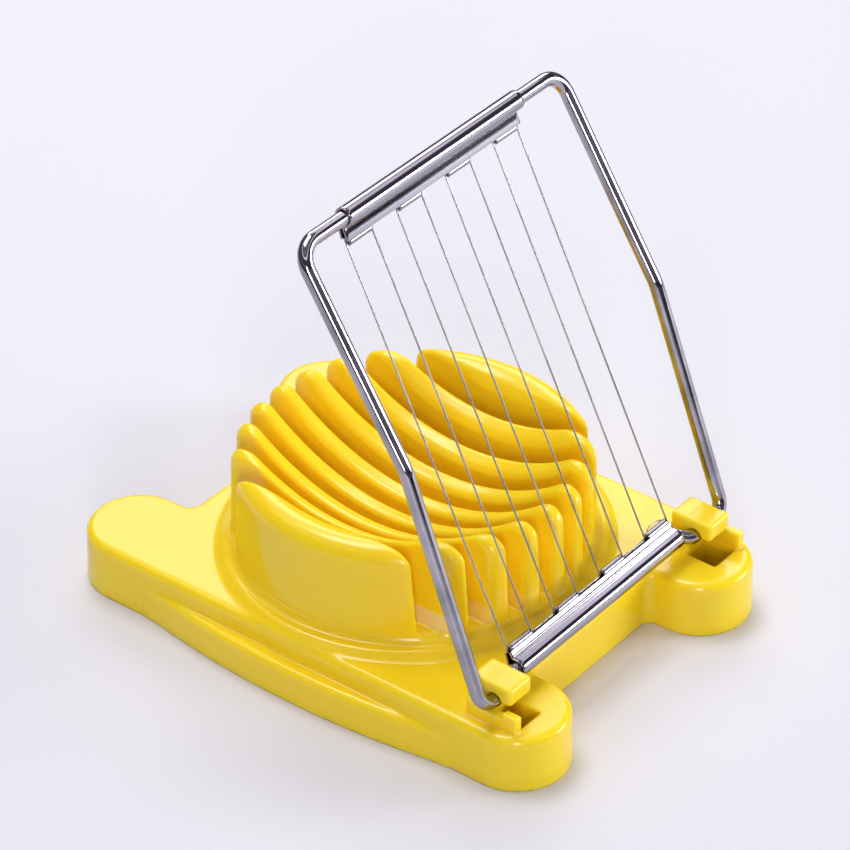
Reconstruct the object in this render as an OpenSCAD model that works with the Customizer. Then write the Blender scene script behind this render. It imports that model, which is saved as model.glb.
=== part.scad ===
// Egg slicer: a one-piece moulded base with a ribbed egg cup, and a hinged
// steel wire frame. Millimetres. Origin at the middle of the base's footprint,
// Z up from the table, +Y away from the hinge, X along the hinge axis.

/* [Base plate] */
// overall width across the straight sides
plate_w = 82.4; // [70:0.1:95]
// half length from the middle to the set-back end walls
plate_hl = 42.9; // [35:0.1:50]
// height of the plate's top
plate_h = 12.4; // [9:0.1:18]
// radius of the four corner lobes
lobe_r = 10.8; // [8:0.1:14]
// lobe centres from the middle, across
lobe_x = 30.4; // [24:0.1:34]
// lobe centres from the middle, along
lobe_y = 47.65; // [40:0.05:55]
// moulded wall thickness
wall = 2; // [1.5:0.1:3]
// how far the crescent ledge stands out of each side
ledge_out = 3.5; // [0:0.1:6]
// height of the crescent ledge
ledge_h = 7.8; // [4:0.1:11]

/* [Egg cup] */
// how far the cup sits behind the middle of the base
cup_y = 1.1; // [-5:0.1:5]
// height of the rib tips
cup_h = 35.2; // [28:0.1:42]
// height of the low plinth under the cup
plinth_h = 1.6; // [0.5:0.1:4]
// radius of the hollow the egg lies in
hollow_r = 46; // [35:0.5:60]
// lowest point of the hollow
hollow_z = 22.5; // [18:0.1:28]
// height of the slot floors
slot_z = 15.8; // [14:0.1:20]
// slot width at its floor
slot_w = 3.2; // [2:0.1:4]
// slot width at the rib tips
slot_w_top = 4.2; // [2.5:0.1:5]

/* [Wires] */
// number of cutting wires
wire_n = 8; // [4:1:12]
// spacing of the wires and of the slots
pitch = 7.5; // [5:0.1:9]
// wire diameter
wire_d = 0.5; // [0.3:0.05:0.8]

/* [Frame] */
// diameter of the bent frame rod
rod_d = 3; // [2:0.1:4]
// hinge axis behind the middle (negative is towards the hinge end)
hinge_y = -46.4; // [-50:0.1:-40]
// height of the hinge axis
hinge_z = 17; // [15:0.1:20]
// leg centre from the middle plane
leg_x = 39.8; // [36:0.1:44]
// hinge axis to crossbar axis
frame_len = 96.8; // [80:0.1:110]
// distance of the leg's kink from the hinge, along the frame
kink_len = 50.6; // [40:0.1:60]
// how far the kink stands off the line from hinge to crossbar
kink_out = 4.9; // [0:0.1:10]
// angle of the frame above level, as it stands in the photographed pose
open_deg = 63.5; // [8:0.5:175]

/* [Wire holders] */
// sheet thickness
sheet_t = 0.5; // [0.3:0.05:0.8]
// holder length past the outer wires
holder_over = 0.3; // [0.1:0.1:2]
// distance from the rod axis to the rolled edge that grips the wires
curl_r = 5.2; // [4:0.1:7]
// how far the rolled edge hangs below the rod axis
curl_drop = 2.2; // [1:0.1:3]
// how far the rod's ends step towards the wires inside the lower holder
jog_u = 1.3; // [0.5:0.1:2]
// how far the rod's ends step below the frame's plane
jog_drop = 1.5; // [0.5:0.1:2]

/* [Hinge hooks] */
// inner face of each hook
hook_x0 = 29.5; // [27:0.1:32]
// outer face of each hook
hook_x1 = 36.2; // [33:0.1:37]
// top of each hook
hook_top = 20.7; // [19:0.1:24]
// running clearance between rod and seat
seat_gap = 0.05; // [0.02:0.01:0.1]

/* [Hidden] */
$fn = 64;
eps = 0.01;

half_w = plate_w / 2;
edge_r = 1.8;
rod_r = rod_d / 2;
seat_r = rod_r + seat_gap;
wire_r = wire_d / 2;
plinth_top = plate_h + plinth_h;
plinth_r = 40.6;
cup_r = 36.7;

// hooks, the low bars outside them and the wells below them
nose_z = 16.8;
hook_y0 = -50.4;
hook_y1 = -40.9;
hook_edge = 1;
hole_y0 = -52.2;
stem_gap = 1.45;
well_t = 1.5;
well_z = 2.5;
bar_w = 1.8;
bar_y0 = -53;
bar_y1 = -41;
bar_top = 16.2;
bar_dip = 15.3;
bar_dip_hl = 3.1;

// frame bends
elbow_r = 3.5;
corner_r = 5;
kink_r = rod_r + 0.02;
lower_deg = atan2(kink_out, kink_len);
upper_deg = atan2(kink_out, frame_len - kink_len);
lower_len = norm([kink_len, kink_out]);
upper_len = norm([frame_len - kink_len, kink_out]);
rod_end_x = 18;
jog_x0 = 27.4;
jog_x1 = 28.6;
jog_step = norm([jog_u, jog_drop]);
jog_len = norm([jog_x1 - jog_x0, jog_step]);
jog_deg = atan2(jog_step, jog_x1 - jog_x0);

// holder section
bore_r = rod_r + seat_gap;
tube_r = bore_r + sheet_t;
curl_o = 0.75;
overlap = 0.04;
upper_roll = [curl_r, -curl_drop];
lower_roll = [curl_r - jog_u, jog_drop - curl_drop];
holder_hl = (wire_n - 1) / 2 * pitch + holder_over;
wire_gap = 0.01;

function wire_x(i) = (i - (wire_n + 1) / 2) * pitch;
function on(c, r, a) = [c[0] + r * cos(a), c[1] + r * sin(a)];
function side_a(c, s) = atan2(c[1], c[0]) + s * (90 - asin((tube_r - curl_o) / norm(c)));

// ---------------------------------------------------------------- base plate

// a slab's cross-section, w wide and h tall, with its two top edges rounded
module edge_section(w, h, r) {
    translate([-w / 2, 0]) square([w, h - r]);
    translate([r - w / 2, 0]) square([w - 2 * r, h]);
    translate([r - w / 2, h - r]) circle(r = r);
    translate([w / 2 - r, h - r]) circle(r = r);
}

module slab_y(w, y0, y1, h, r) {
    translate([0, y1, 0]) rotate([90, 0, 0])
        linear_extrude(height = y1 - y0) edge_section(w, h, r);
}

module lobe(r, h, edge) {
    rotate_extrude($fn = 96) intersection() {
        edge_section(2 * r, h, edge);
        square([r + 1, h + 1]);
    }
}

// the plate's outer form: a rounded slab with a lobe at each corner
module plate_form() {
    intersection() {
        slab_y(plate_w, -plate_hl - 1, plate_hl + 1, plate_h, edge_r);
        rotate([0, 0, 90]) slab_y(2 * plate_hl, -half_w - 1, half_w + 1, plate_h, edge_r);
    }
    for (sx = [-1, 1], sy = [-1, 1]) translate([sx * lobe_x, 0, 0]) {
        translate([0, sy * lobe_y, 0]) lobe(lobe_r, plate_h, edge_r);
        y_in = sy * (plate_hl - lobe_r);
        slab_y(2 * lobe_r, min(y_in, sy * lobe_y), max(y_in, sy * lobe_y), plate_h, edge_r);
    }
}

// the space under the plate
module plate_cavity() {
    w = half_w - wall;
    hl = plate_hl - wall;
    h = plate_h - wall;
    translate([-w, -hl, -1]) cube([2 * w, 2 * hl, h + 1]);
    for (sx = [-1, 1], sy = [-1, 1]) {
        translate([sx * lobe_x, sy * lobe_y, -1]) cylinder(r = lobe_r - wall, h = h + 1);
        y0 = min(sy * (hl - lobe_r), sy * lobe_y);
        y1 = max(sy * (hl - lobe_r), sy * lobe_y);
        translate([sx * lobe_x - lobe_r + wall, y0, -1])
            cube([2 * (lobe_r - wall), y1 - y0, h + 1]);
    }
}

// crescent-shaped lower ledge along one long side
module side_ledge() {
    chord = 74;
    r = chord * chord / (8 * ledge_out) + ledge_out / 2;
    bevel = 1.2;
    intersection() {
        translate([half_w + ledge_out - r, -1, 0]) {
            cylinder(r = r, h = ledge_h - bevel, $fn = 180);
            translate([0, 0, ledge_h - bevel])
                cylinder(r1 = r, r2 = r - bevel, h = bevel, $fn = 180);
        }
        translate([half_w - 1, -1 - chord / 2, 0])
            cube([ledge_out + 2, chord, ledge_h]);
    }
}

module plate() {
    difference() {
        union() {
            plate_form();
            side_ledge();
            mirror([1, 0, 0]) side_ledge();
        }
        plate_cavity();
    }
}

// ------------------------------------------------------------------- egg cup

module cup_body() {
    rotate_extrude($fn = 128)
        polygon([[0, plate_h - wall], [plinth_r - 1, plate_h - wall],
            [plinth_r, plate_h], [plinth_r - 1.7, plinth_top],
            [cup_r + 1.5, plinth_top], [cup_r + 0.6, plinth_top + 0.4],
            [cup_r + 0.1, plinth_top + 1.4], [cup_r, 24], [cup_r - 0.4, 29],
            [cup_r - 1.2, 32.2], [cup_r - 2.2, 34], [cup_r - 3.6, cup_h],
            [0, cup_h]]);
}

module slots() {
    over = cup_r + 5;
    for (i = [1 : wire_n])
        translate([wire_x(i), over, 0]) rotate([90, 0, 0])
            linear_extrude(height = 2 * over)
                polygon([[-slot_w / 2, slot_z], [slot_w / 2, slot_z],
                    [slot_w_top / 2, cup_h + 1], [-slot_w_top / 2, cup_h + 1]]);
}

module egg_cup() {
    translate([0, cup_y, 0]) difference() {
        cup_body();
        translate([0, 0, hollow_z + hollow_r]) sphere(r = hollow_r, $fn = 128);
        slots();
        translate([0, 0, plate_h - wall - 1])
            cylinder(r = cup_r - wall, h = slot_z - plate_h + 1);
    }
}

// --------------------------------------------------------------- hinge hooks

// Y-Z section of a hook: a rounded slab over the rod with a stem behind it
module hook_section() {
    d = hook_y1 - hook_y0;
    difference() {
        union() {
            translate([hook_y0 + d / 2, 0]) intersection() {
                edge_section(d, hook_top, hook_edge);
                translate([-d, nose_z]) square([2 * d, hook_top]);
            }
            translate([hinge_y + stem_gap, plate_h - wall])
                square([hook_y1 - hinge_y - stem_gap, nose_z - plate_h + wall + 1]);
        }
        translate([hinge_y, hinge_z]) circle(r = seat_r);
    }
}

// Y-Z section of the low bar outside each hook, dipped to clear the rod
module bar_section() {
    z0 = plate_h - wall;
    difference() {
        translate([bar_y0, z0]) square([bar_y1 - bar_y0, bar_top - z0]);
        translate([hinge_y - bar_dip_hl, bar_dip])
            square([2 * bar_dip_hl, bar_top - bar_dip + 1]);
    }
}

module hook() {
    translate([hook_x0, 0, 0]) rotate([90, 0, 90])
        linear_extrude(height = hook_x1 - hook_x0) hook_section();
    translate([hook_x1 - eps, 0, 0]) rotate([90, 0, 90])
        linear_extrude(height = bar_w) bar_section();
}

// the opening through the lobe below each hook
module hook_hole() {
    translate([hook_x0 - 0.5, hole_y0, -1])
        cube([hook_x1 - hook_x0 + 0.5 - eps, hinge_y + stem_gap - hole_y0, plate_h + 2]);
}

// walls of the well that each opening leads down
module hook_well() {
    x0 = hook_x0 - 0.5 - well_t;
    y0 = hole_y0 - well_t;
    translate([x0, y0, well_z])
        cube([hook_x1 + well_t - x0, hinge_y + stem_gap + well_t - y0, plate_h - 1 - well_z]);
}

module base() {
    color([1, 0.82, 0.12]) union() {
        difference() {
            union() {
                plate();
                hook_well();
                mirror([1, 0, 0]) hook_well();
            }
            hook_hole();
            mirror([1, 0, 0]) hook_hole();
            translate([0, cup_y, plate_h - wall - 1])
                cylinder(r = cup_r - wall, h = wall + 2);
        }
        egg_cup();
        hook();
        mirror([1, 0, 0]) hook();
    }
}

// --------------------------------------------------------------------- frame

// from the frame's own plane (hinge axis on X, crossbar towards +Y)
module place_frame() {
    translate([0, hinge_y, hinge_z]) rotate([open_deg, 0, 0]) children();
}

module rod_x(x0, x1) {
    translate([x0, 0, 0]) rotate([0, 90, 0]) cylinder(r = rod_r, h = x1 - x0);
}

module rod_y(y0, y1) {
    translate([0, y1, 0]) rotate([90, 0, 0]) cylinder(r = rod_r, h = y1 - y0);
}

// quarter bend in the XY plane from heading +X at the origin to heading +Y
module quarter_bend(r) {
    translate([0, r, 0]) rotate([0, 0, -90])
        rotate_extrude(angle = 90) translate([r, 0]) circle(r = rod_r);
}

// bend and straight run of one leg, starting where a cross run ends
module leg_run(r, len) {
    translate([leg_x - r, 0, 0]) quarter_bend(r);
    translate([leg_x, 0, 0]) rod_y(r, len);
}

// the two ends, stepped off the hinge axis and stopping inside the lower holder
module rod_ends() {
    for (m = [0, 1]) mirror([m, 0, 0]) {
        translate([0, jog_u, -jog_drop]) {
            rod_x(rod_end_x, jog_x0);
            translate([jog_x0, 0, 0]) sphere(r = kink_r);
        }
        translate([jog_x1, 0, 0]) {
            sphere(r = kink_r);
            rotate([atan2(-jog_drop, jog_u), 0, 0]) rotate([0, 0, -jog_deg])
                rotate([0, -90, 0]) cylinder(r = rod_r, h = jog_len);
        }
    }
}

// from the hinge up to the kinks
module lower_frame() {
    for (m = [0, 1]) mirror([m, 0, 0]) {
        rod_x(jog_x1, leg_x - elbow_r);
        leg_run(elbow_r, lower_len);
        translate([leg_x, lower_len, 0]) sphere(r = kink_r);
    }
}

// from the crossbar down to the kinks
module upper_frame() {
    rod_x(corner_r - leg_x, leg_x - corner_r);
    for (m = [0, 1]) mirror([m, 0, 0]) leg_run(corner_r, upper_len);
}

module frame_rod() {
    color([0.75, 0.76, 0.8]) place_frame() {
        rod_ends();
        rotate([lower_deg, 0, 0]) lower_frame();
        translate([0, frame_len, 0]) rotate([-upper_deg, 0, 0])
            mirror([0, 1, 0]) upper_frame();
    }
}

module bar_x(c, r, hl, fn) {
    translate([-hl, c[0], c[1]]) rotate([0, 90, 0]) cylinder(r = r, h = 2 * hl, $fn = fn);
}

// form round the rod and the rolled edge at c; in makes it smaller all round
module holder_form(c, in, hl) {
    a = tube_r - in - overlap;
    b = curl_o - in - overlap;
    bar_x([0, 0], tube_r - in, hl, 64);
    bar_x(c, curl_o - in, hl, 32);
    translate([-hl, 0, 0]) rotate([90, 0, 90]) linear_extrude(height = 2 * hl)
        polygon([on([0, 0], a, side_a(c, 1)), on(c, b, side_a(c, 1)),
            on(c, b, side_a(c, -1)), on([0, 0], a, side_a(c, -1))]);
}

// folded sheet, its rolled edge cut away where the wires pass between the tabs
module wire_holder(c) {
    cut_y = c[0] - curl_o - 0.05;
    clear = wire_r + wire_gap;
    difference() {
        holder_form(c, 0, holder_hl);
        holder_form(c, sheet_t, holder_hl + 1);
        for (i = [0 : 2 : wire_n]) {
            x0 = i == 0 ? -holder_hl - 1 : wire_x(i) - clear;
            x1 = i == wire_n ? holder_hl + 1 : wire_x(i + 1) + clear;
            translate([x0, cut_y, -5]) cube([x1 - x0, 4, 6]);
        }
    }
}

module lower_wire_holder() {
    color([0.7, 0.71, 0.75]) place_frame()
        translate([0, jog_u, -jog_drop]) wire_holder(lower_roll);
}

module upper_wire_holder() {
    color([0.7, 0.71, 0.75]) place_frame()
        translate([0, frame_len, 0]) mirror([0, 1, 0]) wire_holder(upper_roll);
}

module cutting_wire(i) {
    color([0.85, 0.85, 0.88]) place_frame()
        translate([wire_x(i), frame_len - curl_r, -curl_drop]) rotate([90, 0, 0])
            cylinder(r = wire_r, h = frame_len - 2 * curl_r, $fn = 24);
}

module cutting_wire_1() { cutting_wire(1); }
module cutting_wire_2() { cutting_wire(2); }
module cutting_wire_3() { cutting_wire(3); }
module cutting_wire_4() { cutting_wire(4); }
module cutting_wire_5() { cutting_wire(5); }
module cutting_wire_6() { cutting_wire(6); }
module cutting_wire_7() { cutting_wire(7); }
module cutting_wire_8() { cutting_wire(8); }

base();
frame_rod();
upper_wire_holder();
lower_wire_holder();
cutting_wire_1();
cutting_wire_2();
cutting_wire_3();
cutting_wire_4();
cutting_wire_5();
cutting_wire_6();
cutting_wire_7();
cutting_wire_8();
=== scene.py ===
"""Egg slicer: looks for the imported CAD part.

Shapes are worked out in millimetres, in the part's own frame: origin at the middle of
the base's footprint, Z up, X along the hinge axis, the hinge at negative Y.
"""
import math

import bpy
import numpy as np
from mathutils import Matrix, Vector


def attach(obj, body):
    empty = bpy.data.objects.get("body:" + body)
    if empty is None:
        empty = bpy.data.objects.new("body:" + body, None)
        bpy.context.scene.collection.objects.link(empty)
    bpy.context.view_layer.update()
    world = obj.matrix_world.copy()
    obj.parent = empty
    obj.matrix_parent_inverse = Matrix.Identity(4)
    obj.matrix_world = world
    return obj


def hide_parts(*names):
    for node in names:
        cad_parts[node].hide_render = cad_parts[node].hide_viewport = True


MM = 0.001
PITCH = 7.5
WIRES = 8


# ---------------------------------------------------------------- shape maths (mm)

def fillet_union(a, b, r):
    """Either a or b, with a fillet of radius r where they meet."""
    u = np.hypot(np.maximum(r - a, 0), np.maximum(r - b, 0))
    return np.maximum(np.minimum(a, b), r) - u


def round_cut(a, b, r):
    """Both a and b, with their shared convex edge rounded to r."""
    u = np.hypot(np.maximum(r + a, 0), np.maximum(r + b, 0))
    return np.minimum(np.maximum(a, b), -r) + u


def soft_union(a, b, k):
    """Either a or b, blended over a distance k."""
    h = np.maximum(k - np.abs(a - b), 0) / k
    return np.minimum(a, b) - h * h * k / 4


def box3(x, y, z, lo, hi, r):
    """Box between two corners, its edges rounded to r."""
    q = [np.abs(c - (l + h) / 2) - (h - l) / 2 + r for c, l, h in zip((x, y, z), lo, hi)]
    out = np.sqrt(sum(np.maximum(c, 0) ** 2 for c in q))
    return out + np.minimum(np.maximum(np.maximum(q[0], q[1]), q[2]), 0) - r


HINGE_Y, HINGE_Z = -46.4, 17.0
PLATE_TOP, PLATE_HALF_LEN, WALL = 12.4, 42.9, 2.0
LOBE_X, LOBE_Y, LOBE_R = 30.4, 47.65, 10.8
LEDGE_CENTRE_X, LEDGE_Y, LEDGE_R, LEDGE_TOP = 152.6, 1, 197.3, 7.8
PLINTH_TOP = 14.0
CUP_Y, CUP_R, CUP_TOP = 1.1, 36.6, 35.0
SLOT_FLOOR = 15.8
HOLLOW_CENTRE_Z, HOLLOW_RADII = 85.8, (51.8, 53.7, 63.3)
HOOK_X0, HOOK_X1, HOOK_Y0, HOOK_Y1 = 29.5, 36.3, -50.4, -40.9
HOOK_BOTTOM, HOOK_TOP, STEM_Y, SEAT_R = 16.8, 20.7, -44.95, 1.56
WELL_X0, WELL_X1, WELL_Y0 = 29.0, 36.2, -52.2
BAR_X0, BAR_X1, BAR_Y0, BAR_Y1, BAR_TOP = 36.0, 38.0, -53.0, -41.1, 16.2


def outline(ax, ay):
    """Plan of the plate: a slab with a round lobe at each corner."""
    qx, qy = ax - LOBE_X, ay - PLATE_HALF_LEN
    slab = np.hypot(np.maximum(qx, 0), np.maximum(qy, 0)) + np.minimum(np.maximum(qx, qy), 0)
    lobe = np.hypot(ax - LOBE_X, np.maximum(ay - LOBE_Y, 0)) - LOBE_R
    return fillet_union(slab, lobe, 2.2)


def plate_shape(ax, y, z, plan):
    """The plate with drafted walls, and the crescent ledge along each long side."""
    plate = round_cut(plan + 0.0175 * z, z - PLATE_TOP, 1.6)
    disc = np.hypot(ax + LEDGE_CENTRE_X, y + LEDGE_Y) - LEDGE_R + 0.02 * z
    crescent = np.maximum(np.maximum(disc, 37 - ax), np.abs(y + LEDGE_Y) - 38)
    return soft_union(plate, round_cut(crescent, z - LEDGE_TOP, 1.3), 1.0)


def plinth_shape(x, y, z):
    """Low oval plinth with sloping sides."""
    rise = np.clip((z - PLATE_TOP) / 1.6, 0, 1)
    a, b = 41.1 - 1.6 * rise, 39.6 - 2.0 * rise
    side = (np.hypot(x / a, (y - 0.6) / b) - 1) * 38.5
    return round_cut(side, z - PLINTH_TOP, 0.5)


def underside(x, y, z, plan):
    """Open space below the plate and the cup."""
    below_plate = np.maximum(plan + WALL, z - 10.4)
    below_cup = np.maximum(np.hypot(x, y - CUP_Y) - 34.6, z - 13.8)
    return np.minimum(below_plate, below_cup)


def base_shape(x, y, z):
    ax, ay = np.abs(x), np.abs(y)
    plan = outline(ax, ay)
    solid = plate_shape(ax, y, z, plan)
    solid = soft_union(solid, plinth_shape(x, y, z), 0.9)
    solid = fillet_union(solid, cup_shape(x, y, z), 1.9)
    solid = np.maximum(solid, -underside(x, y, z, plan))
    well = box3(ax, y, z, (WELL_X0 - 1.5, WELL_Y0 - 1.5, 2.5), (WELL_X1 + 1.5, STEM_Y + 1.5, 11.4), 0.2)
    hole = box3(ax, y, z, (WELL_X0, WELL_Y0, -9), (WELL_X1, STEM_Y, 30), 0.5)
    solid = round_cut(np.minimum(solid, well), -hole, 0.35)
    solid = soft_union(solid, hook_shape(ax, y, z), 0.7)
    return round_cut(solid, -z + 0 * solid, 0.3)


def cup_shape(x, y, z):
    """Drafted round cup with the egg's hollow, cut by one slot for each wire."""
    rho = np.hypot(x, y - CUP_Y)
    wall = round_cut(rho + 0.022 * (z - 16) - CUP_R, z - CUP_TOP, 3.4)
    p = (x, y - CUP_Y, z - HOLLOW_CENTRE_Z)
    k0 = np.sqrt(sum((c / d) ** 2 for c, d in zip(p, HOLLOW_RADII)))
    k1 = np.sqrt(sum((c / d ** 2) ** 2 for c, d in zip(p, HOLLOW_RADII)))
    hollow = k0 * (k0 - 1) / k1
    body = round_cut(wall, -hollow, 1.1)
    centre = (np.clip(np.round(x / PITCH - 0.5), -WIRES // 2, WIRES // 2 - 1) + 0.5) * PITCH
    half = 1.5 + 0.031 * (z - SLOT_FLOOR)
    slot = round_cut(np.abs(x - centre) - half, SLOT_FLOOR - z, 0.7)
    return round_cut(body, -slot, 1.35)


def hook_shape(ax, y, z):
    """A hook with its rod seat, and the low bar outside it, dipped to clear the rod."""
    slab = box3(ax, y, z, (HOOK_X0, HOOK_Y0, HOOK_BOTTOM), (HOOK_X1, HOOK_Y1, HOOK_TOP), 0.8)
    stem = box3(ax, y, z, (HOOK_X0, STEM_Y, 10.6), (HOOK_X1, HOOK_Y1, HOOK_TOP - 0.2), 0.6)
    seat = np.hypot(y - HINGE_Y, z - HINGE_Z) - SEAT_R
    hook = round_cut(soft_union(slab, stem, 0.5), -seat + 0 * ax, 0.2)
    bar = box3(ax, y, z, (BAR_X0, BAR_Y0, 10.6), (BAR_X1, BAR_Y1, BAR_TOP), 0.45)
    dip = np.maximum(np.abs(y - HINGE_Y) - 3.1, 15.3 - z)
    return np.minimum(hook, round_cut(bar, -dip + 0 * ax, 0.4))


# ---------------------------------------------------------------- mesh making

def gradient(shape, p, e=0.02):
    g = np.empty_like(p)
    for i in range(3):
        d = np.zeros(3)
        d[i] = e
        g[:, i] = (shape(*(p + d).T) - shape(*(p - d).T)) / (2 * e)
    return g


def surface(shape, lo, hi, step):
    """Quads over the zero surface of a shape, with every vertex brought onto it."""
    grid = [np.arange(a, b + step, step) for a, b in zip(lo, hi)]
    f = shape(grid[0][:, None, None], grid[1][None, :, None], grid[2][None, None, :])
    inside = f < 0
    cells = tuple(n - 1 for n in f.shape)
    total, count = np.zeros(cells + (3,)), np.zeros(cells)
    edges = []
    for axis in range(3):
        low = [slice(None)] * 3
        high = [slice(None)] * 3
        low[axis], high[axis] = slice(0, -1), slice(1, None)
        low, high = tuple(low), tuple(high)
        cross = inside[low] != inside[high]
        at = np.argwhere(cross)
        f0, f1 = f[low][cross], f[high][cross]
        pos = np.stack([grid[k][at[:, k]] for k in range(3)], 1)
        pos[:, axis] += step * f0 / (f0 - f1)
        edges.append((at, inside[low][cross]))
        b, c = [k for k in range(3) if k != axis]
        for db in (0, 1):
            for dc in (0, 1):
                cell = at.copy()
                cell[:, b] -= db
                cell[:, c] -= dc
                np.add.at(total, tuple(cell.T), pos)
                np.add.at(count, tuple(cell.T), 1)
    index = np.full(cells, -1)
    used = count > 0
    index[used] = np.arange(used.sum())
    points = total[used] / count[used][:, None]
    quads = []
    for axis, (at, first) in enumerate(edges):
        b, c = (axis + 1) % 3, (axis + 2) % 3
        ring = []
        for db, dc in ((1, 1), (0, 1), (0, 0), (1, 0)):
            cell = at.copy()
            cell[:, b] -= db
            cell[:, c] -= dc
            ring.append(index[tuple(cell.T)])
        quad = np.stack(ring, 1)
        quad[~first] = quad[~first][:, ::-1]
        quads.append(quad)
    for _ in range(3):
        g = gradient(shape, points)
        move = shape(*points.T)[:, None] * g / np.maximum((g * g).sum(1), 0.2)[:, None]
        points = points - np.clip(move, -step, step)
    g = gradient(shape, points)
    return points, np.concatenate(quads), g / np.linalg.norm(g, axis=1)[:, None]


def make_object(name, points, faces, normals=None, smooth=True):
    mesh = bpy.data.meshes.new(name)
    mesh.from_pydata((np.asarray(points) * MM).tolist(), [], [list(map(int, q)) for q in faces])
    mesh.validate()
    mesh.update()
    mesh.polygons.foreach_set("use_smooth", [smooth] * len(mesh.polygons))
    if normals is not None:
        mesh.normals_split_custom_set_from_vertices(normals.tolist())
    obj = bpy.data.objects.new(name, mesh)
    bpy.context.scene.collection.objects.link(obj)
    return obj


def tube(path, r, sides=24):
    """Points and faces of a round bar along a path, its ends domed."""
    path = np.asarray(path, float)
    tang = np.gradient(path, axis=0)
    tang /= np.linalg.norm(tang, axis=1)[:, None]
    ref = np.cross(tang[0], (0.3, 0.5, 0.8))
    frames = []
    for t in tang:
        ref = ref - t * ref.dot(t)
        ref /= np.linalg.norm(ref)
        frames.append((ref, np.cross(t, ref)))
    dome = [(0.0, 0.02), (0.0, 0.7), (0.0, 0.94), (0.0, 1.0)]
    rows = [(path[0] - tang[0] * r * 0.25 * (1 - s), frames[0], s) for _, s in dome[:-1]]
    rows += [(p, fr, 1.0) for p, fr in zip(path, frames)]
    rows += [(path[-1] + tang[-1] * r * 0.25 * (1 - s), frames[-1], s) for _, s in dome[-2::-1]]
    ang = np.arange(sides) * 2 * np.pi / sides
    pts = [c + r * s * (np.cos(w) * u + np.sin(w) * v) for c, (u, v), s in rows for w in ang]
    faces = []
    for i in range(len(rows) - 1):
        for j in range(sides):
            k = (j + 1) % sides
            faces.append((i * sides + j, i * sides + k, (i + 1) * sides + k, (i + 1) * sides + j))
    faces.append(tuple(range(sides))[::-1])
    last = (len(rows) - 1) * sides
    faces.append(tuple(range(last, last + sides)))
    return pts, faces


def joined(parts):
    pts, faces = [], []
    for p, f in parts:
        faces += [tuple(i + len(pts) for i in q) for q in f]
        pts += list(p)
    return pts, faces


def bent(corners, radii, n=12):
    """A path through corner points, each corner turned on an arc of its radius."""
    c = [np.asarray(p, float) for p in corners]
    out = [c[0]]
    for i in range(1, len(c) - 1):
        a, b = c[i - 1] - c[i], c[i + 1] - c[i]
        a, b = a / np.linalg.norm(a), b / np.linalg.norm(b)
        half = math.acos(max(-1, min(1, a.dot(b)))) / 2
        mid = (a + b) / np.linalg.norm(a + b)
        centre = c[i] + mid * radii[i - 1] / math.sin(half)
        start, end = (c[i] + v * radii[i - 1] / math.tan(half) for v in (a, b))
        u, v = start - centre, end - centre
        w = math.acos(max(-1, min(1, u.dot(v) / u.dot(u))))
        for t in np.linspace(0, 1, n):
            out.append(centre + (u * math.sin((1 - t) * w) + v * math.sin(t * w)) / math.sin(w))
    out.append(c[-1])
    fine = [out[0]]
    for p in out[1:]:
        gap = np.linalg.norm(p - fine[-1])
        if gap > 3:
            q = fine[-1]
            for t in np.linspace(0, 1, int(gap / 3) + 1)[1:-1]:
                fine.append(q + (p - q) * t)
        fine.append(p)
    return fine


# ---------------------------------------------------------------- frame geometry

FRAME_LEN, LEG_X, ROD_R = 96.8, 39.8, 1.5
KINK_U, KINK_V = 50.6, 4.9
STEP_U, STEP_V, ROD_END_X = 1.3, -1.5, 17.6
OPEN = math.radians(63.5)


def on_frame(u, v, x):
    """u runs from the hinge axis to the crossbar, v stands off that plane."""
    c, s = math.cos(OPEN), math.sin(OPEN)
    return (x, HINGE_Y + u * c - v * s, HINGE_Z + u * s + v * c)


def rod_mesh():
    """The bent rod, from one end inside the lower holder round to the other."""
    side = [(ROD_END_X, STEP_U, STEP_V), (27.3, STEP_U, STEP_V), (28.7, 0, 0),
            (LEG_X, 0, 0), (LEG_X, KINK_U, KINK_V), (LEG_X, FRAME_LEN, 0)]
    corners = side + [(-x, u, v) for x, u, v in side[::-1]]
    radii = [1.7, 1.7, 3.5, 9, 4.6]
    path = bent([on_frame(u, v, x) for x, u, v in corners], radii + radii[::-1], 14)
    return tube(path, ROD_R, 32)


WIRE_U, WIRE_V, WIRE_R = 5.2, -2.2, 0.19
TAIL_R = WIRE_R * 0.8


def wire_x(i):
    return (i - (WIRES + 1) / 2) * PITCH


def tab_middle(x):
    """Middle of the rolled tab next to a wire; each tab lies between two wires."""
    i = round(x / PITCH + (WIRES + 1) / 2)
    return x + PITCH / 2 if i % 2 else x - PITCH / 2


def crossing(x):
    """Slack run from one wire to the next, across a notch of the lower holder."""
    dips = [(-0.4, 0, 0), (1.2, 0.15, 0.1), (PITCH / 2, 0.25, 0.15),
            (PITCH - 1.2, 0.15, 0.1), (PITCH + 0.4, 0, 0)]
    path = [on_frame(WIRE_U - du, WIRE_V - dv, x + dx) for dx, du, dv in dips]
    return tube(bent(path, [2, 4, 2], 4), WIRE_R, 12)


def tucked_tail(x):
    """Loose end of the first wire, tucked between the lower holder's lips."""
    path = [on_frame(WIRE_U, WIRE_V - 0.2, x - 0.1), on_frame(4.0, -2.5, x + 0.8),
            on_frame(3.6, -2.45, x + 3.4), on_frame(3.5, -2.45, x + 5.5)]
    return tube(bent(path, [1, 3], 6), TAIL_R, 10)


def looped_tail(x):
    """Loose end of the last wire, looped over the last lower tab."""
    path = []
    for t in np.linspace(0, 1, 28):
        w = t * math.pi * 1.35
        path.append(on_frame(WIRE_U + 0.3 + 0.7 * math.sin(w), WIRE_V - 0.4 - 0.6 * math.sin(w),
                             x - 3.2 + 2.6 * math.cos(w)))
    return tube(path, TAIL_R, 10)


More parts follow.
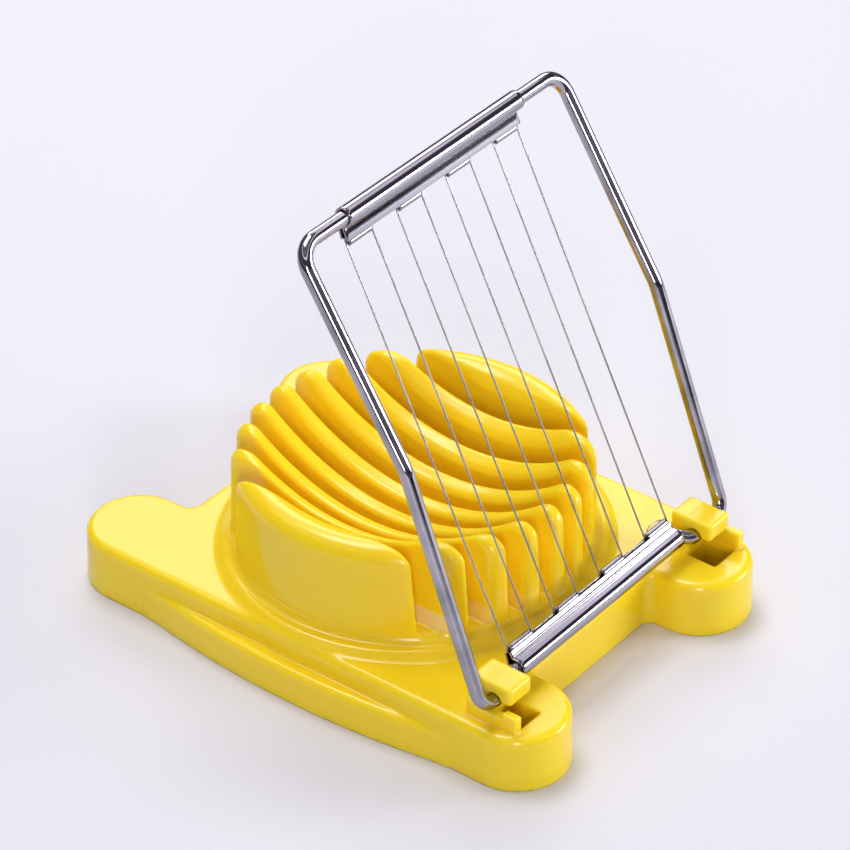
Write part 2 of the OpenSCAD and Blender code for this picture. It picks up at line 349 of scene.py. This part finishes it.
def wire_parts(i):
    """One straight run turned into a tab at each end, and what hangs on to it below."""
    x = wire_x(i)
    inner = x + (tab_middle(x) - x) * 0.75
    top = FRAME_LEN - WIRE_U
    run = [on_frame(WIRE_U, WIRE_V, inner), on_frame(WIRE_U, WIRE_V, x),
           on_frame(top, WIRE_V, x), on_frame(top, WIRE_V, inner)]
    parts = [tube(bent(run, [0.5, 0.5], 6), WIRE_R, 12)]
    if i in (2, 4, 6):
        parts.append(crossing(x))
    if i == WIRES:
        parts.append(looped_tail(x))
    if i == 1:
        parts.append(tucked_tail(x))
    return joined(parts)


SHEET, RING_R, ROLL_R, LIP_END_U = 0.45, 1.8, 0.58, 4.85


def arc(centre, r, a0, a1, n):
    return [(centre[0] + r * math.cos(a), centre[1] + r * math.sin(a)) for a in np.linspace(a0, a1, n)]


def sheet_section(ring, lip_v, far):
    """Middle line of the folded sheet in u, v: near lip, ring round the rod, far lip, roll."""
    low = far - math.pi / 2
    roll = (WIRE_U, WIRE_V)
    mouth = math.asin(max(-0.9, (lip_v - ring[1]) / RING_R)) + 0.45
    neck = (ring[0] + RING_R + 0.35, lip_v, 0)
    lip = bent([(LIP_END_U, lip_v, 0), neck, (*arc(ring, RING_R, mouth, mouth, 1)[0], 0)], [0.5], 8)
    pts = [tuple(p[:2]) for p in lip[:-1]] + arc(ring, RING_R, mouth, 1.5 * math.pi + far, 30)
    start, bottom = np.array(pts[-1]), np.array(arc(roll, ROLL_R, low, low, 1)[0])
    pts += [tuple(start + (bottom - start) * t) for t in np.linspace(0, 1, 7)[1:]]
    edge = len(pts) - 2
    return pts + arc(roll, ROLL_R, low, low + 1.36 * math.pi, 16)[1:], edge


def holder_object(name, top):
    """Folded sheet along X, with its roll left only on the tabs between pairs of wires."""
    if top:
        section, edge = sheet_section((0, 0), -1.25, -0.13)
    else:
        section, edge = sheet_section((STEP_U, STEP_V), -1.62, 0.13)
    half = (WIRES - 1) / 2 * PITCH + 0.3
    tabs = [(wire_x(i) + 0.4, wire_x(i + 1) - 0.4) for i in range(1, WIRES + 1, 2)]
    xs = set(np.linspace(-half, half, 40))
    for a, b in tabs:
        xs |= set(np.linspace(a + 0.05, b - 0.05, 9))
    xs = sorted(xs)
    pts = [on_frame(FRAME_LEN - u if top else u, v, x) for x in xs for u, v in section]
    n = len(section)
    faces = []
    for i in range(len(xs) - 1):
        mid = (xs[i] + xs[i + 1]) / 2
        tab = any(a < mid < b for a, b in tabs)
        for j in range(n - 1 if tab else edge):
            faces.append((i * n + j, i * n + j + 1, (i + 1) * n + j + 1, (i + 1) * n + j))
    obj = make_object(name, pts, faces)
    solid = obj.modifiers.new("thickness", "SOLIDIFY")
    solid.thickness = SHEET * MM
    solid.offset = 0
    bevel = obj.modifiers.new("edge", "BEVEL")
    bevel.width = 0.07 * MM
    bevel.segments = 2
    bevel.limit_method = "ANGLE"
    bevel.angle_limit = math.radians(50)
    return obj


# ---------------------------------------------------------------- materials

def new_material(name):
    mat = bpy.data.materials.new(name)
    mat.use_nodes = True
    tree = mat.node_tree
    tree.nodes.clear()
    out = tree.nodes.new("ShaderNodeOutputMaterial")
    shader = tree.nodes.new("ShaderNodeBsdfPrincipled")
    tree.links.new(shader.outputs[0], out.inputs[0])
    return mat, tree, shader


def object_noise(tree, scale, detail=3.0, stretch=None):
    coord = tree.nodes.new("ShaderNodeTexCoord")
    noise = tree.nodes.new("ShaderNodeTexNoise")
    noise.inputs["Scale"].default_value = scale
    noise.inputs["Detail"].default_value = detail
    source = coord.outputs["Object"]
    if stretch:
        mapping = tree.nodes.new("ShaderNodeMapping")
        mapping.inputs["Scale"].default_value = stretch
        tree.links.new(source, mapping.inputs[0])
        source = mapping.outputs[0]
    tree.links.new(source, noise.inputs["Vector"])
    return noise.outputs[0]


def ranged(tree, value, lo, hi, a=0.3, b=0.7):
    node = tree.nodes.new("ShaderNodeMapRange")
    for slot, v in zip((1, 2, 3, 4), (a, b, lo, hi)):
        node.inputs[slot].default_value = v
    tree.links.new(value, node.inputs[0])
    return node.outputs[0]


def bumped(tree, shader, value, distance):
    bump = tree.nodes.new("ShaderNodeBump")
    bump.inputs["Strength"].default_value = 1.0
    bump.inputs["Distance"].default_value = distance
    tree.links.new(value, bump.inputs["Height"])
    tree.links.new(bump.outputs[0], shader.inputs["Normal"])


def mixed(tree, factor, a, b):
    mix = tree.nodes.new("ShaderNodeMix")
    mix.data_type = "RGBA"
    mix.inputs[6].default_value = a
    mix.inputs[7].default_value = b
    tree.links.new(factor, mix.inputs[0])
    return mix.outputs[2]


TABLE_LOW, TABLE_HIGH = (0.69, 0.69, 0.745, 1), (0.705, 0.705, 0.76, 1)
YELLOW = (1.0, 0.69, 0.016, 1)
YELLOW_DEEP = (0.99, 0.675, 0.013, 1)
# pale yellow painted as light on the lower walls in the mouths of the first slots
YELLOW_MOUTH_LIGHT = (0.90, 0.70, 0.28, 1)


def plastic():
    """Glossy yellow moulding that lets a little light in, with fine handling marks and painted light as
    a pale wash in the mouths of the first slots.
    """
    mat, tree, sh = new_material("yellow plastic")
    tone = ranged(tree, object_noise(tree, 35.0, 2.0), 0.0, 1.0)
    colour = mixed(tree, tone, YELLOW_DEEP, YELLOW)
    # painted light: a pale wash on the lower mouth walls of the first slots, read from a point
    # attribute set in make_base
    pale = tree.nodes.new("ShaderNodeAttribute")
    pale.attribute_name = "mouth_light"
    wash = tree.nodes.new("ShaderNodeMix")
    wash.data_type = "RGBA"
    wash.inputs[7].default_value = YELLOW_MOUTH_LIGHT
    tree.links.new(pale.outputs["Fac"], wash.inputs[0])
    tree.links.new(colour, wash.inputs[6])
    tree.links.new(wash.outputs[2], sh.inputs["Base Color"])
    rough = ranged(tree, object_noise(tree, 260.0, 5.0), 0.19, 0.26)
    tree.links.new(rough, sh.inputs["Roughness"])
    sh.inputs["IOR"].default_value = 1.49
    sh.inputs["Subsurface Weight"].default_value = 0.8
    sh.inputs["Subsurface Radius"].default_value = (1.0, 0.95, 0.22)
    sh.inputs["Subsurface Scale"].default_value = 0.002
    bumped(tree, sh, object_noise(tree, 600.0, 4.0), 0.000003)
    return mat


def steel(name, colour, rough_lo, rough_hi, grain, bump):
    """Bright metal with duller worn patches and a fine grain, stretched by grain."""
    mat, tree, sh = new_material(name)
    fine = object_noise(tree, 500.0, 5.0, grain)
    worn = ranged(tree, object_noise(tree, 260.0, 4.0, grain), 0.0, 1.0, 0.35, 0.65)
    dull = tuple(c * 0.66 for c in colour[:3]) + (1,)
    tree.links.new(mixed(tree, worn, dull, colour), sh.inputs["Base Color"])
    sh.inputs["Metallic"].default_value = 1.0
    tree.links.new(ranged(tree, fine, rough_lo, rough_hi), sh.inputs["Roughness"])
    bumped(tree, sh, fine, bump)
    return mat


def floor_material():
    """Matt, slightly uneven pale table."""
    mat, tree, sh = new_material("table top")
    tone = ranged(tree, object_noise(tree, 4.0, 2.0), 0.0, 1.0)
    tree.links.new(mixed(tree, tone, TABLE_LOW, TABLE_HIGH), sh.inputs["Base Color"])
    sh.inputs["Roughness"].default_value = 0.6
    sh.inputs["Specular IOR Level"].default_value = 0.3
    return mat


# ---------------------------------------------------------------- pieces

def painted_mouth_light(points, normals):
    """Painted light on each point: a pale wash on the lower walls in the mouths of the first slots,
    fading from the first slot to the third.
    """
    x, y, z = points.T
    pale = np.zeros(len(points))
    for i, amount in ((1, 1.0), (2, 0.6), (3, 0.2)):
        wall = (np.abs(x - wire_x(i) - 1.6) < 0.8) & (normals[:, 0] < -0.4)
        low = np.clip((19.9 - z) / 0.3, 0, 1) * np.clip((z - 15.9) / 0.4, 0, 1)
        pale = np.maximum(pale, amount * wall * low * (y < 0))
    return pale


def make_base(mat):
    step = 0.45
    points, faces, normals = surface(base_shape, (-46.2, -60.1, -1.0), (46.2, 60.1, 36.5), step)
    obj = make_object("base_moulding", points, faces, normals)
    # point attribute that carries the painted light on the mouth walls of the first slots
    mouth_light = obj.data.attributes.new("mouth_light", "FLOAT", "POINT")
    mouth_light.data.foreach_set("value", painted_mouth_light(points, normals))
    obj.data.materials.append(mat)
    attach(obj, "base_body")
    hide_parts("base")


def frame_piece(obj, mat, node):
    obj.data.materials.append(mat)
    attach(obj, "cutting_frame")
    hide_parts(node)


def make_frame():
    rod = steel("plated rod", (0.46, 0.44, 0.49, 1), 0.07, 0.13, (0.5, 0.5, 0.5), 0.000004)
    sheet = steel("plated sheet", (0.40, 0.38, 0.43, 1), 0.05, 0.11, (0.06, 1, 1), 0.000006)
    wire = steel("drawn wire", (0.42, 0.42, 0.43, 1), 0.22, 0.32, (1, 0.2, 0.2), 0.000002)
    frame_piece(make_object("rod", *rod_mesh()), rod, "frame_rod")
    for name, node, top in (("upper_holder", "upper_wire_holder", True),
                            ("lower_holder", "lower_wire_holder", False)):
        frame_piece(holder_object(name, top), sheet, node)
    for i in range(1, WIRES + 1):
        piece = make_object("wire_%d" % i, *wire_parts(i))
        frame_piece(piece, wire, "cutting_wire_%d" % i)


# ---------------------------------------------------------------- stage

def make_floor():
    size = 1600
    pts = [(-size, -size, 0), (size, -size, 0), (size, size, 0), (-size, size, 0)]
    floor = make_object("table_top", pts, [(0, 1, 2, 3)], smooth=False)
    floor.data.materials.append(floor_material())


# brightness of the room by height of view direction, from level (0) to straight up (1)
BANDS = [(0.02, 0.20), (0.10, 0.05), (0.24, 0.05), (0.29, 0.22), (0.38, 0.22), (0.44, 0.06),
         (0.70, 0.08), (0.735, 1.6), (0.76, 1.6), (0.79, 0.10), (0.90, 0.3), (0.96, 0.1)]


def make_world():
    world = bpy.data.worlds.new("studio")
    bpy.context.scene.world = world
    world.use_nodes = True
    tree = world.node_tree
    tree.nodes.clear()
    out = tree.nodes.new("ShaderNodeOutputWorld")
    back = tree.nodes.new("ShaderNodeBackground")
    tree.links.new(back.outputs[0], out.inputs[0])
    coord = tree.nodes.new("ShaderNodeTexCoord")
    split = tree.nodes.new("ShaderNodeSeparateXYZ")
    ramp = tree.nodes.new("ShaderNodeValToRGB")
    tree.links.new(coord.outputs["Generated"], split.inputs[0])
    tree.links.new(split.outputs[2], ramp.inputs[0])
    tree.links.new(ramp.outputs[0], back.inputs[0])
    for pos, grey in BANDS:
        e = ramp.color_ramp.elements.new(pos)
        e.color = (grey, grey * 0.94, grey * 1.08, 1)
    back.inputs[1].default_value = 1.05


def area_light(name, place, aim, size, power, colour=(1, 1, 1)):
    data = bpy.data.lights.new(name, "AREA")
    data.shape = "RECTANGLE"
    data.size, data.size_y = size
    data.energy = power
    data.color = colour
    lamp = bpy.data.objects.new(name, data)
    lamp.location = Vector(place)
    lamp.rotation_mode = "QUATERNION"
    lamp.rotation_quaternion = (Vector(place) - Vector(aim)).to_track_quat("Z", "Y")
    bpy.context.scene.collection.objects.link(lamp)


def make_lights():
    aim = (0, 0, 0.02)
    area_light("overhead", (0.05, 0.28, 1.0), aim, (0.6, 0.45), 6.2)
    area_light("back", (0.62, 0.52, 0.62), aim, (0.7, 0.35), 2.9)
    area_light("front fill", (-0.95, -0.75, 0.42), aim, (0.2, 0.5), 5.2)
    area_light("right fill", (0.75, -0.85, 0.3), aim, (0.5, 0.25), 6.8)


def make_camera():
    a, e, dist = math.radians(-52.11), math.radians(35.45), 0.9272
    target = Vector((0.02893, 0.02081, 0.015))
    back = Vector((math.sin(a) * math.cos(e), -math.cos(a) * math.cos(e), math.sin(e)))
    data = bpy.data.cameras.new("camera")
    data.sensor_width, data.lens = 36.0, 190.0
    cam = bpy.data.objects.new("camera", data)
    cam.location = target + back * dist
    cam.rotation_mode = "QUATERNION"
    cam.rotation_quaternion = (-back).to_track_quat("-Z", "Y")
    bpy.context.scene.collection.objects.link(cam)
    bpy.context.scene.camera = cam
    bpy.context.scene.view_settings.view_transform = "Standard"


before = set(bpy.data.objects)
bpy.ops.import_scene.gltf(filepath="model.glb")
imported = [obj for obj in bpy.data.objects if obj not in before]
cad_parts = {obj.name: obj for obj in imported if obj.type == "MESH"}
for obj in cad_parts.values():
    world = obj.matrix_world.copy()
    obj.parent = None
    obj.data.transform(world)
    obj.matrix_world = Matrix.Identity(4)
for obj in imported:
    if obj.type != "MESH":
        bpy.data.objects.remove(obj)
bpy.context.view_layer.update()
make_base(plastic())
make_frame()
make_floor()
make_world()
make_lights()
make_camera()
